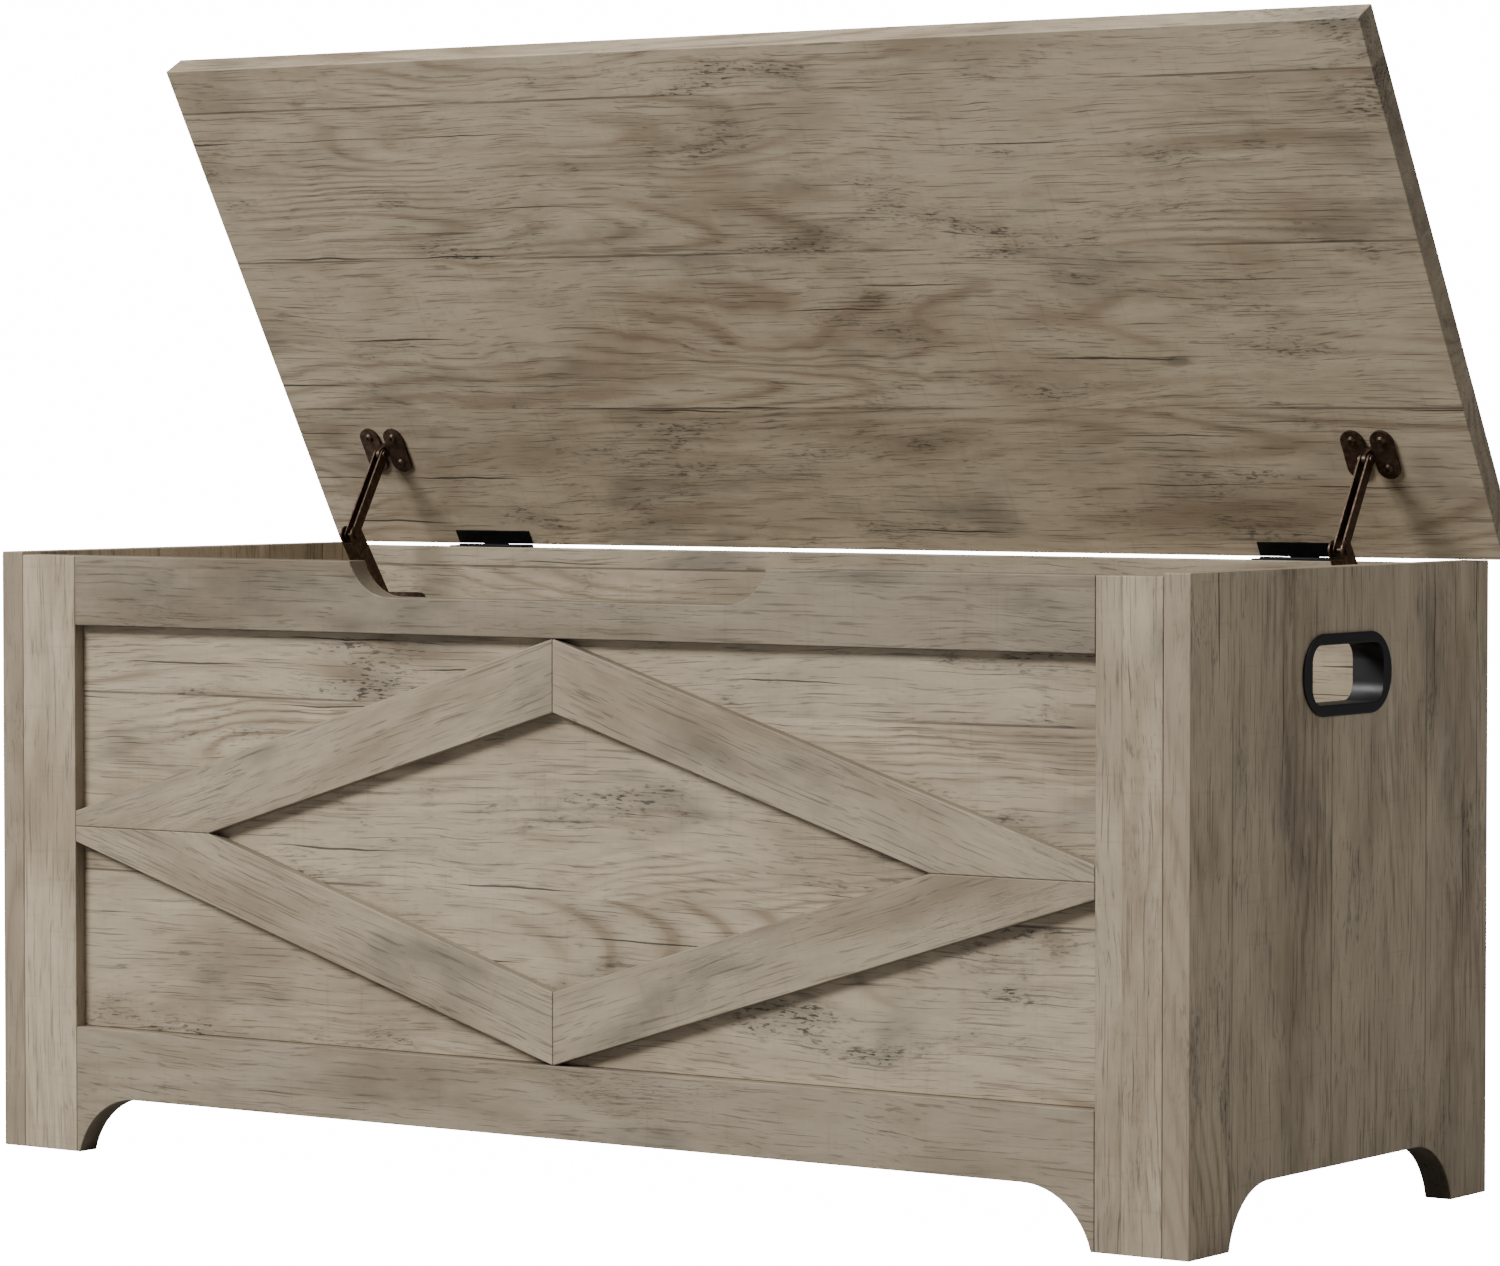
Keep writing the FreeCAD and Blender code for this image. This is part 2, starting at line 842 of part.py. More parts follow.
def hinge_leaf(label, hand, knuckles, low_z, high_z, bore, screws):
    """A leaf of a butt hinge, drawn in the lid's closed frame about the hinge axis."""
    radius = size("knuckle_radius")
    body = new_body(label)
    far = -size("leaf_width")
    near = -radius - size("knuckle_clear")
    centre, half = size("hinge_place") * hand, size("hinge_length") / 2
    plate = rectangle(centre - half, far, centre + half, near)
    pad(body, "z", low_z, high_z, [plate])
    for third, (low, high) in enumerate(knuckle_thirds(hand)):
        if third in knuckles:
            tongue = rectangle(low, near - size("overlap"), high, Size(0))
            pad(body, "z", low_z, high_z, [tongue])
            pad(body, "x", low, high, circles=[(Size(0), Size(0), radius)])
            hole = [(Size(0), Size(0), bore)]
            pad(body, "x", low, high, circles=hole, feature="PartDesign::Pocket")
    return cut(label, body, screws)


def hinges(body_screws, lid_screws):
    """Both hinges: body leaf with the outer knuckles, lid leaf with the middle one."""
    pin = size("hinge_pin_radius")
    leaf = size("leaf_board")
    body_low = frame_top_z - hinge_z
    parts = []
    for name, hand in SIDES:
        body_leaf = hinge_leaf(
            f"{name}_hinge_body_leaf",
            hand,
            (0, 2),
            body_low,
            body_low + leaf,
            pin,
            body_screws,
        )
        lid_leaf = hinge_leaf(
            f"{name}_hinge_lid_leaf",
            hand,
            (1,),
            lid_under - leaf,
            lid_under,
            pin + size("running_gap"),
            lid_screws,
        )
        start = size("hinge_place") * hand - size("hinge_length") / 2
        pin_rod = rod("x", (start, hinge_y, hinge_z), size("hinge_length"), pin)
        parts.append(move(body_leaf, hinge_y, hinge_z))
        parts.append(with_lid(lid_leaf))
        parts.append(fused(f"{name}_hinge_pin", pin_rod))
    return parts


# ---------------------------------------------------------------- folding stays


def plate_pair(body, hand, gap, thickness, outline, circles):
    """Two like plates on either side of the stay's middle plane."""
    centre = size("stay_place") * hand
    for way in (-1, 1):
        low, high = span(way, gap / 2, gap / 2 + thickness)
        pad(body, "x", centre + low, centre + high, [outline], circles)


def web(body, hand, gap, outline):
    """The floor of a channel, between its two plates."""
    centre = size("stay_place") * hand
    half = gap / 2 + size("plate") / 2
    pad(body, "x", centre - half, centre + half, [outline])


def along(start, end, radius, first, last):
    """A thin strip beside the line from start to end, radius to its right, from first
    to last of its length."""
    run, rise = end[0] - start[0], end[1] - start[1]
    length = math.hypot(run.number, rise.number)
    reach = Size(length, f"sqrt({run.formula} ^ 2 + {rise.formula} ^ 2)")
    right_y, right_z = rise / reach, -run / reach
    inner = radius - size("plate")
    corners = []
    for share, offset in ((first, radius), (last, radius), (last, inner), (first, inner)):
        across = start[0] + run * share + right_y * offset
        up = start[1] + rise * share + right_z * offset
        corners.append((across, up))
    return corners


def upper_arm(hand):
    """Channel from the elbow up to the lid bracket's ear, open to the front, drawn about
    the elbow."""
    name = "right" if hand > 0 else "left"
    elbow, ear = (Size(0), Size(0)), (size("link_back"), size("link_up"))
    radius = size("upper_radius")
    rivet = size("rivet_radius")
    body = new_body(f"{name}_stay_upper_arm")
    holes = [
        (*elbow, rivet + size("running_gap")),
        (*ear, rivet + size("open_pivot_gap")),
    ]
    plate_pair(
        body, hand, size("upper_gap"), size("plate"), bar(*elbow, *ear, radius), holes
    )
    shares = size("upper_web_start"), size("upper_web_end")
    web(body, hand, size("upper_gap"), along(elbow, ear, radius, *shares))
    return with_upper_arm(body)


def lower_arm(hand):
    """Wide channel from the base bracket to the elbow, drawn as it lies, lid closed."""
    name = "right" if hand > 0 else "left"
    base, elbow = (Size(0), Size(0)), (ear_y, ear_z)
    radius = size("lower_radius")
    rivet = size("rivet_radius")
    body = new_body(f"{name}_stay_lower_arm")
    holes = [(*base, rivet + size("running_gap")), (*elbow, rivet)]
    plate_pair(
        body, hand, size("lower_gap"), size("plate"), bar(*base, *elbow, radius), holes
    )
    shares = size("lower_web_start"), size("lower_web_end")
    web(body, hand, size("lower_gap"), along(elbow, base, radius, *shares))
    return with_lower_arm(body)


def stay_base(hand, screws):
    """Base bracket: a plate on the back panel with two ears about the base pivot."""
    name = "right" if hand > 0 else "left"
    centre = size("stay_place") * hand
    plate_face = back_inner_y - size("base_plate")
    radius = size("base_radius")
    body = new_body(f"{name}_stay_base")
    width, height = size("base_width"), size("base_height")
    plate = rounded(centre, base_pivot_z, width, height, size("base_corner"))
    pad(body, "y", plate_face, back_inner_y, [plate])
    root_y = plate_face + size("overlap")
    ear = [
        (root_y, base_pivot_z - radius),
        (root_y, base_pivot_z + radius),
        (base_pivot_y, base_pivot_z + radius, radius, 1),
        (base_pivot_y - radius, base_pivot_z, radius, 1),
        (base_pivot_y, base_pivot_z - radius),
    ]
    holes = [(base_pivot_y, base_pivot_z, size("rivet_radius"))]
    plate_pair(body, hand, size("base_gap"), size("base_ear"), ear, holes)
    return cut(f"{name}_stay_base", body, screws)


def rivet(label, hand, pivot_y, pivot_z, half_length):
    """A pin with a flat head at each end."""
    centre = size("stay_place") * hand
    head = size("rivet_head_height")
    shank = rod(
        "x",
        (centre - half_length, pivot_y, pivot_z),
        half_length * 2,
        size("rivet_radius"),
    )
    caps = [
        rod("x", (centre + start, pivot_y, pivot_z), head, size("rivet_head"))
        for start in (half_length, -half_length - head)
    ]
    return fused(label, shank, *caps)


def friction_washers():
    """Washers that grip the lower arms between the base brackets' ears."""
    rings = []
    gap = size("base_gap") / 2
    for _, hand in SIDES:
        for way in (-1, 1):
            low, _ = span(way, gap - size("washer_board"), gap)
            x = size("stay_place") * hand + low
            place = (x, base_pivot_y, base_pivot_z)
            disc = rod("x", place, size("washer_board"), size("washer_radius"))
            hole = rod("x", place, size("washer_board"), size("rivet_radius"))
            rings.append(cut("washer", disc, hole))
    return group("stay_friction_washers", rings)


def lid_bracket(hand, screws):
    """Bracket under the lid: two long round-ended wings, a bridge between them, one ear."""
    name = "right" if hand > 0 else "left"
    centre = size("stay_place") * hand
    wing, length = size("bracket_wing"), size("bracket_length")
    face = lid_under - size("bracket_board")
    body = new_body(f"{name}_stay_lid_bracket")
    reach = (size("bracket_wing_apart") + wing) / 2
    bridge = size("bracket_bridge") / 2
    link = rectangle(centre - reach, ear_y - bridge, centre + reach, ear_y + bridge)
    pad(body, "z", face, lid_under, [link])
    for way in (-1, 1):
        round_end = wing / 2 - size("rim_flat")
        outline = rounded(centre + reach * way, ear_y, wing, length, round_end)
        pad(body, "z", face, lid_under, [outline])
    radius = size("ear_radius")
    root_z = face + size("overlap")
    ear = [
        (ear_y + radius, root_z),
        (ear_y - radius, root_z),
        (ear_y - radius, ear_z, radius, 1),
        (ear_y, ear_z - radius, radius, 1),
        (ear_y + radius, ear_z),
    ]
    half = size("ear_board") / 2
    holes = [(ear_y, ear_z, size("rivet_radius"))]
    pad(body, "x", centre - half, centre + half, [ear], holes)
    return with_lid(cut(f"{name}_stay_lid_bracket", body, screws))


def stays(base_screws, lid_screws):
    parts = []
    for name, hand in SIDES:
        parts.append(stay_base(hand, base_screws))
        parts.append(lower_arm(hand))
        parts.append(upper_arm(hand))
        parts.append(lid_bracket(hand, lid_screws))
        half = size("base_gap") / 2 + size("base_ear")
        parts.append(
            rivet(f"{name}_base_rivet", hand, base_pivot_y, base_pivot_z, half)
        )
        half = size("lower_gap") / 2 + size("plate")
        elbow = rivet(f"{name}_elbow_rivet", hand, ear_y, ear_z, half)
        parts.append(with_lower_arm(elbow))
        half = size("upper_gap") / 2 + size("plate") + size("ear_rivet_play")
        ear = rivet(f"{name}_ear_rivet", hand, ear_y, ear_z, half)
        parts.append(with_lid(ear))
    parts.append(friction_washers())
    return parts


# ---------------------------------------------------------------- the whole box


def toy_box():
    dowels = frame_dowels()
    cam_bolts, cam_locks = cam_fittings()
    side_screws = cleat_screws()
    body_low = frame_top_z - hinge_z
    body_hinge_screws = hinge_screws(body_low + size("leaf_board"), "-z")
    lid_hinge_screws = hinge_screws(lid_under - size("leaf_board"), "z")
    base_screws = stay_base_screws()
    bracket_screws = stay_lid_screws()
    parts = [front_top_rail(dowels), front_bottom_rail(dowels), front_panel()]
    for _, hand in SIDES:
        parts.append(side_panel(hand, (dowels, cam_bolts, side_screws)))
        parts.append(front_stile(hand, dowels))
        parts.append(bottom_cleat(hand, side_screws))
        parts.append(handle_sleeve(hand))
        parts.append(handle_ring(hand))
    parts += diamond_strips()
    parts.append(lid_board((lid_hinge_screws, bracket_screws)))
    parts += hinges(body_hinge_screws, lid_hinge_screws)
    placed_screws = group("hinge_body_screws", [body_hinge_screws])
    move(placed_screws, hinge_y, hinge_z)
    parts.append(placed_screws)
    parts.append(with_lid(group("hinge_lid_screws", [lid_hinge_screws])))
    parts.append(with_lid(group("stay_lid_screws", [bracket_screws])))
    back_tools = (cam_bolts, cam_locks, placed_screws, base_screws)
    parts.append(back_panel(back_tools))
    parts.append(bottom_panel((cam_bolts, cam_locks)))
    parts += stays(base_screws, bracket_screws)
    parts += [dowels, cam_bolts, cam_locks, side_screws, base_screws]
    return parts


parts = toy_box()
doc.recompute()

for thing in doc.Objects:
    if {"Invalid", "Error"} & set(thing.State):
        raise RuntimeError(f"{thing.Label} failed: {thing.State}")

os.makedirs("parts", exist_ok=True)
for part in parts:
    if part.Shape.isNull() or not part.Shape.isValid():
        raise RuntimeError(f"{part.Label} has no valid shape")
    part.Shape.exportStep(os.path.join("parts", f"{part.Label}.step"))
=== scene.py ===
import json
import math

import bpy
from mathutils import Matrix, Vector

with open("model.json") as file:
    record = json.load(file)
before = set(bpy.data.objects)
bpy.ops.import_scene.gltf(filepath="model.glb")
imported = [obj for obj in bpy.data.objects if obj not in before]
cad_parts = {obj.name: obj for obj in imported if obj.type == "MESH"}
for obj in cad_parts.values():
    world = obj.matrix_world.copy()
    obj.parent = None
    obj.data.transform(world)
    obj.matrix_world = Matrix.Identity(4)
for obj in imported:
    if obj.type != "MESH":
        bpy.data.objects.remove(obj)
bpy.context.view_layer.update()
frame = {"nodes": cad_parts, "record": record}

# Looks for a wooden toy box. Metres, in the frame's own axes: +X right, +Y back, +Z up.
# The CAD nodes keep their meshes and places; this adds their materials and a studio.

DIAMOND_ANGLE = math.atan(0.3105)  # slope of the diamond's strips


def srgb(red, green, blue):
    """Linear colour from the usual 0 to 255 values."""
    return tuple((c / 255) ** 2.2 for c in (red, green, blue)) + (1.0,)


# ---------------------------------------------------------------- node helpers


class Nodes:
    """Short ways to add shader nodes to one material."""

    def __init__(self, name):
        self.material = bpy.data.materials.new(name)
        self.material.use_nodes = True
        self.tree = self.material.node_tree
        self.tree.nodes.clear()
        self.shader = self.add("ShaderNodeBsdfPrincipled")
        output = self.add("ShaderNodeOutputMaterial")
        self.link(self.shader.outputs[0], output.inputs[0])

    def add(self, kind, **settings):
        node = self.tree.nodes.new(kind)
        for key, value in settings.items():
            setattr(node, key, value)
        return node

    def link(self, source, target):
        if hasattr(source, "links"):
            self.tree.links.new(source, target)
        else:
            target.default_value = source

    def math(self, operation, *values):
        node = self.add("ShaderNodeMath", operation=operation)
        for value, socket in zip(values, node.inputs):
            self.link(value, socket)
        return node.outputs[0]

    def vector(self, operation, first, second):
        node = self.add("ShaderNodeVectorMath", operation=operation)
        self.link(first, node.inputs[0])
        self.link(second, node.inputs[1])
        return node.outputs[0]

    def place(self, turn=(0, 0, 0), shift=(0, 0, 0)):
        """Object coordinates, turned so that the grain runs along X."""
        coordinates = self.add("ShaderNodeTexCoord").outputs["Object"]
        mapping = self.add("ShaderNodeMapping", vector_type="POINT")
        self.link(coordinates, mapping.inputs["Vector"])
        mapping.inputs["Rotation"].default_value = turn
        mapping.inputs["Location"].default_value = shift
        return mapping.outputs[0]

    def on_face(self, turn):
        """1 on the board's two faces, 0 on its edges."""
        normal = self.add("ShaderNodeTexCoord").outputs["Normal"]
        mapping = self.add("ShaderNodeMapping", vector_type="VECTOR")
        self.link(normal, mapping.inputs["Vector"])
        mapping.inputs["Rotation"].default_value = turn
        parts = self.add("ShaderNodeSeparateXYZ")
        self.link(mapping.outputs[0], parts.inputs[0])
        return self.step(self.math("ABSOLUTE", parts.outputs["Y"]), *STEP["face"])

    def noise(self, place, scale, detail=2.0, roughness=0.5):
        """Noise from 0 to 1; scale is its cells per metre along each axis."""
        node = self.add("ShaderNodeTexNoise", noise_dimensions="3D")
        self.link(self.vector("MULTIPLY", place, scale), node.inputs["Vector"])
        node.inputs["Scale"].default_value = 1.0
        node.inputs["Detail"].default_value = detail
        node.inputs["Roughness"].default_value = roughness
        return node.outputs[0]

    def step(self, value, low, high):
        """0 at low, 1 at high, smooth between; low may be the larger."""
        node = self.add("ShaderNodeMapRange", interpolation_type="SMOOTHSTEP")
        self.link(value, node.inputs["Value"])
        node.inputs["From Min"].default_value = low
        node.inputs["From Max"].default_value = high
        return node.outputs[0]

    def mix(self, factor, first, second, blend="MIX"):
        node = self.add("ShaderNodeMix", data_type="RGBA", blend_type=blend)
        self.link(factor, node.inputs[0])
        self.link(first, node.inputs[6])
        self.link(second, node.inputs[7])
        return node.outputs[2]

    def bump(self, height, distance, strength=1.0):
        node = self.add("ShaderNodeBump")
        self.link(height, node.inputs["Height"])
        node.inputs["Distance"].default_value = distance
        node.inputs["Strength"].default_value = strength
        self.link(node.outputs[0], self.shader.inputs["Normal"])


# ---------------------------------------------------------------- wood

# Turns that bring a board's grain onto X and its width onto Z.
GRAIN = {
    "along": (0, 0, 0),
    "lid": (math.radians(-30), 0, 0),
    "flat": (math.radians(90), 0, 0),
    "upright": (0, math.radians(90), 0),
    "side": (math.radians(90), 0, math.radians(90)),
    "rising": (0, DIAMOND_ANGLE, 0),
    "falling": (0, -DIAMOND_ANGLE, 0),
}

PALE = srgb(184, 169, 145)
MIDDLE = srgb(150, 136, 114)
BROWN = srgb(108, 90, 71)
SLATE = srgb(88, 85, 76)
# EDGE darkens the boards' edges: partly their own edge colour, partly painted shade.
EDGE = srgb(97, 86, 73)
CHAR = srgb(24, 20, 15)

BAND = 0.128  # width of one printed plank, across the grain
PLANK_JUMP = (7.0, 0.0, 3.0)  # how far one plank's wood may be from the next one's
PLANK_TONE = 0.14  # how far the planks of one board differ in brightness
PRINT_STEP = (1.37, 0.61, 0.173)  # from one seed's place in the print to the next, in metres

# Each noise's cells per metre (in wood along the grain and twice across it), detail and
# roughness.
NOISE = {
    "cloud": ((9.0, 46.0, 46.0), 6.0, 0.74),
    "stain": ((4.0, 12.0, 12.0), 4.0, 0.6),
    "cool": ((6.0, 15.0, 15.0), 4.0, 0.6),
    "fibre": ((13.0, 640.0, 640.0), 3.0, 0.60),
    "sawn": ((260.0, 16.0, 16.0), 2.0, 0.6),
    "growth_field": ((0.9, 8.0, 8.0), 1.0, 0.4),
    "growth_where": ((3.5, 13.0, 13.0), 3.0),
    "clump": ((6.0, 19.0, 19.0), 5.0, 0.68),
    "pits": ((120.0, 560.0, 560.0), 2.0, 0.6),
    "seam_where": ((5.0, 1.0, 1.0), 3.0),
    "knot_rim": ((160.0, 260.0, 260.0), 2.0),
    "small_bend": ((16.0, 30.0, 30.0), 2.0),
    "large_bend": ((2.2, 6.0, 6.0), 2.0),
    "beech": ((40.0, 900.0, 900.0), 3.0, 0.6),
    "plastic_grain": ((2600.0, 2600.0, 2600.0), 2.0, 0.5),
    "plastic_marks": ((60.0, 60.0, 60.0), 4.0, 0.6),
    "steel_mottle": ((240.0, 240.0, 240.0), 4.0, 0.62),
    "steel_peel": ((1500.0, 1500.0, 1500.0), 2.0, 0.5),
    "floor": ((0.8, 0.8, 0.8), 2.0),
}

# Where each mask is 0 and where it is 1.
STEP = {
    "face": (0.80, 0.98),  # of the normal's part along the board's thickness
    "cloud": (0.14, 0.86),
    "stain": (0.46, 0.72),
    "cool": (0.52, 0.74),
    "sawn": (0.55, 0.80),
    "fibre": (0.53, 0.68),
    "growth_thin": (0.62, 1.0),
    "growth_soft": (-0.6, 1.0),
    "growth_where": (0.42, 0.66),
    "clump": (0.52, 0.68),
    "pits": (0.53, 0.62),
    "seam_where": (0.46, 0.56),
    "seam": (0.490, 0.497),  # of a plank's width, from its middle
    "crack_taper": (0.5, 0.1),
    "crack_edge": (1.0, 0.4),
    "knot": (0.070, 0.035),
    "plastic_marks": (0.45, 0.80),
    "steel_mottle": (0.40, 0.72),
}

# How strongly each layer covers the ones below it, before a board's wear.
COVER = {
    "stain": 0.55,
    "cool": 0.55,
    "sawn": 0.16,
    "fibre": 0.44,
    "clump": 0.30,
    "pits": 0.80,
    "seam": 0.75,
    "hair": 0.60,
    "gaps": 0.80,
    "knot": 0.50,
}

# Cracks: length, pitch across the grain, width, and the share of cells that have one.
SPLITS = (0.130, 0.020, 0.0012, 0.16)
HAIR_CRACKS = (0.050, 0.0050, 0.0006, 0.30)
CRACK_STAGGER = 9.0  # in crack lengths, from row to row
CRACK_SPREAD = 0.5  # the middle share of a row where cracks lie
THINNEST_CRACK = 0.3  # as a share of the widest
NO_WIDTH = 0.001  # keeps a crack's ends from dividing by nothing

GROWTH_LINES = 230.0  # turns the field into this many radians of line
THIN_ON_SOFT = 0.75  # how much the thin lines add to the soft ones
GROWTH_COVER = (0.06, 0.30)  # on an unworn board, and added by full wear
SMALL_BEND = 0.006  # the grain's wandering, in metres
LARGE_BEND = 0.045
KNOT_CELLS = (3.0, 7.0, 7.0)
KNOT_RAGGED = 0.035

WOOD_ROUGH = (0.46, 0.20)  # roughness, and what the fibre adds
WOOD_SHINE = 0.35
RELIEF = (0.00024, 0.7)  # height in metres, strength
FIBRE_RELIEF = 0.5
PIT_RELIEF = 0.7
BEECH_ROUGH = 0.6
BEECH_RELIEF = 0.0001


def across_and_along(n, place):
    parts = n.add("ShaderNodeSeparateXYZ")
    n.link(place, parts.inputs[0])
    return parts.outputs["Z"], parts.outputs["X"]


def dice(n, *values):
    """A fixed random colour and value for each whole number, or pair of them."""
    node = n.add("ShaderNodeTexWhiteNoise", noise_dimensions="3D")
    joined = n.add("ShaderNodeCombineXYZ")
    for value, socket in zip(values, joined.inputs):
        n.link(value, socket)
    n.link(joined.outputs[0], node.inputs["Vector"])
    return node.outputs["Color"], node.outputs["Value"]


def planks(n, place):
    """Cuts the print into planks: each has its own stretch of wood, its own tone, and a
    dark seam that comes and goes."""
    across, _ = across_and_along(n, place)
    row_at = n.math("DIVIDE", across, BAND)
    colour, value = dice(n, n.math("FLOOR", row_at))
    jump = n.vector("MULTIPLY", colour, PLANK_JUMP)
    from_middle = n.math("ABSOLUTE", n.math("SUBTRACT", n.math("FRACT", row_at), 0.5))
    open_here = n.step(n.noise(place, *NOISE["seam_where"]), *STEP["seam_where"])
    seam = n.math("MULTIPLY", n.step(from_middle, *STEP["seam"]), open_here)
    return n.vector("ADD", place, jump), value, seam


def bend_grain(n, place, noise, reach):
    """Lets the grain wander across the board."""
    shift = n.math("MULTIPLY", n.noise(place, *noise), reach)
    offset = n.add("ShaderNodeCombineXYZ")
    n.link(shift, offset.inputs["Y"])
    n.link(shift, offset.inputs["Z"])
    return n.vector("ADD", place, offset.outputs[0])


def growth_lines(n, place):
    """Thin dark growth lines that close into long pointed arches."""
    field = n.noise(place, *NOISE["growth_field"])
    rings = n.math("SINE", n.math("MULTIPLY", field, GROWTH_LINES))
    thin = n.step(rings, *STEP["growth_thin"])
    lines = n.math("MULTIPLY_ADD", thin, THIN_ON_SOFT, n.step(rings, *STEP["growth_soft"]))
    where = n.noise(place, *NOISE["growth_where"])
    return n.math("MULTIPLY", lines, n.step(where, *STEP["growth_where"]))


def weathering(n, place):
    """Clumps of short dark pits that follow the grain."""
    clump = n.step(n.noise(place, *NOISE["clump"]), *STEP["clump"])
    pits = n.step(n.noise(place, *NOISE["pits"]), *STEP["pits"])
    return n.math("MULTIPLY", clump, pits), clump


def cracks(n, place, wear, length, pitch, width, share):
    """Near-straight hair cracks that taper out, in a share of a staggered grid's cells."""
    across, along = across_and_along(n, place)
    row_at = n.math("DIVIDE", across, pitch)
    row = n.math("FLOOR", row_at)
    _, stagger = dice(n, row)
    ahead = n.math("MULTIPLY", stagger, CRACK_STAGGER)
    cell_at = n.math("ADD", n.math("DIVIDE", along, length), ahead)
    throw, chance = dice(n, row, n.math("FLOOR", cell_at))
    throws = n.add("ShaderNodeSeparateColor")
    n.link(throw, throws.inputs[0])
    centre = n.math("MULTIPLY_ADD", throws.outputs[0], CRACK_SPREAD, (1 - CRACK_SPREAD) / 2)
    from_line = n.math("ABSOLUTE", n.math("SUBTRACT", n.math("FRACT", row_at), centre))
    from_middle = n.math("ABSOLUTE", n.math("SUBTRACT", n.math("FRACT", cell_at), 0.5))
    taper = n.step(from_middle, *STEP["crack_taper"])
    swell = n.math("MULTIPLY_ADD", throws.outputs[1], 1 - THINNEST_CRACK, THINNEST_CRACK)
    half = n.math("MULTIPLY", n.math("MULTIPLY", taper, swell), width / pitch)
    edge = n.math("DIVIDE", from_line, n.math("MAXIMUM", half, NO_WIDTH))
    line = n.step(edge, *STEP["crack_edge"])
    return n.math("MULTIPLY", line, n.math("LESS_THAN", chance, share * wear))


def knots(n, place):
    """A few small dark knots."""
    cells = n.add("ShaderNodeTexVoronoi", voronoi_dimensions="3D", feature="F1")
    n.link(n.vector("MULTIPLY", place, KNOT_CELLS), cells.inputs["Vector"])
    cells.inputs["Scale"].default_value = 1.0
    ragged = n.math("MULTIPLY", n.noise(place, *NOISE["knot_rim"]), KNOT_RAGGED)
    reach = n.math("ADD", cells.outputs["Distance"], ragged)
    return n.step(reach, *STEP["knot"])


def weathered_wood(name, grain, seed, wear, tone, edge_band_and_shade):
    """Grey-brown barn board: fibres, growth lines, pits, cracks and stained planks."""
    n = Nodes(name)
    shift = tuple(seed * step for step in PRINT_STEP)
    face = n.on_face(GRAIN[grain])
    flat_place, plank_tone, seam = planks(n, n.place(GRAIN[grain], shift))
    near_straight = bend_grain(n, flat_place, NOISE["small_bend"], SMALL_BEND)
    place = bend_grain(n, near_straight, NOISE["large_bend"], LARGE_BEND)

    def layer(mask, cover, below, paint):
        return n.mix(n.math("MULTIPLY", mask, cover), below, paint)

    def print_layer(key, below, paint):
        source = flat_place if key == "sawn" else place
        mask = n.step(n.noise(source, *NOISE[key]), *STEP[key])
        return layer(mask, COVER[key], below, paint)

    fibre = n.noise(place, *NOISE["fibre"])
    pits, clump = weathering(n, place)
    growth_cover = GROWTH_COVER[0] + GROWTH_COVER[1] * wear
    colour = n.mix(n.step(n.noise(place, *NOISE["cloud"]), *STEP["cloud"]), MIDDLE, PALE)
    colour = print_layer("stain", colour, BROWN)
    colour = print_layer("cool", colour, SLATE)
    colour = layer(growth_lines(n, place), growth_cover, colour, BROWN)
    colour = print_layer("sawn", colour, BROWN)
    colour = layer(n.step(fibre, *STEP["fibre"]), COVER["fibre"], colour, CHAR)
    colour = layer(clump, COVER["clump"] * wear, colour, SLATE)
    colour = layer(pits, COVER["pits"] * wear, colour, CHAR)

    split = cracks(n, near_straight, wear, *SPLITS)
    hair = n.math("MULTIPLY", cracks(n, place, wear, *HAIR_CRACKS), COVER["hair"])
    seam = n.math("MULTIPLY", seam, COVER["seam"] * wear)
    gaps = n.math("MAXIMUM", hair, n.math("MAXIMUM", split, seam))
    gaps = n.math("MULTIPLY", gaps, face)
    colour = layer(gaps, COVER["gaps"], colour, CHAR)
    colour = layer(knots(n, place), COVER["knot"], colour, CHAR)
    # The edges take EDGE, partly as their own colour and partly as painted shade; each
    # board's amount is set for how brightly its edges are lit.
    colour = n.mix(n.math("MULTIPLY_ADD", face, -edge_band_and_shade, edge_band_and_shade), colour, EDGE)

    # The tone scales the whole board's colour; on the side panels it is painted light that
    # makes their shaded outer faces lighter.
    lift = n.math("MULTIPLY_ADD", plank_tone, PLANK_TONE, tone - PLANK_TONE / 2)
    shade = n.add("ShaderNodeCombineColor")
    for socket in shade.inputs:
        n.link(lift, socket)
    colour = n.mix(1.0, colour, shade.outputs[0], blend="MULTIPLY")
    n.link(colour, n.shader.inputs["Base Color"])
    rough, fibre_rough = WOOD_ROUGH
    n.link(n.math("MULTIPLY_ADD", fibre, fibre_rough, rough), n.shader.inputs["Roughness"])
    n.shader.inputs["Specular IOR Level"].default_value = WOOD_SHINE
    height = n.math("SUBTRACT", n.math("MULTIPLY", fibre, FIBRE_RELIEF), gaps)
    height = n.math("SUBTRACT", height, n.math("MULTIPLY", pits, PIT_RELIEF))
    n.bump(height, *RELIEF)
    return n.material


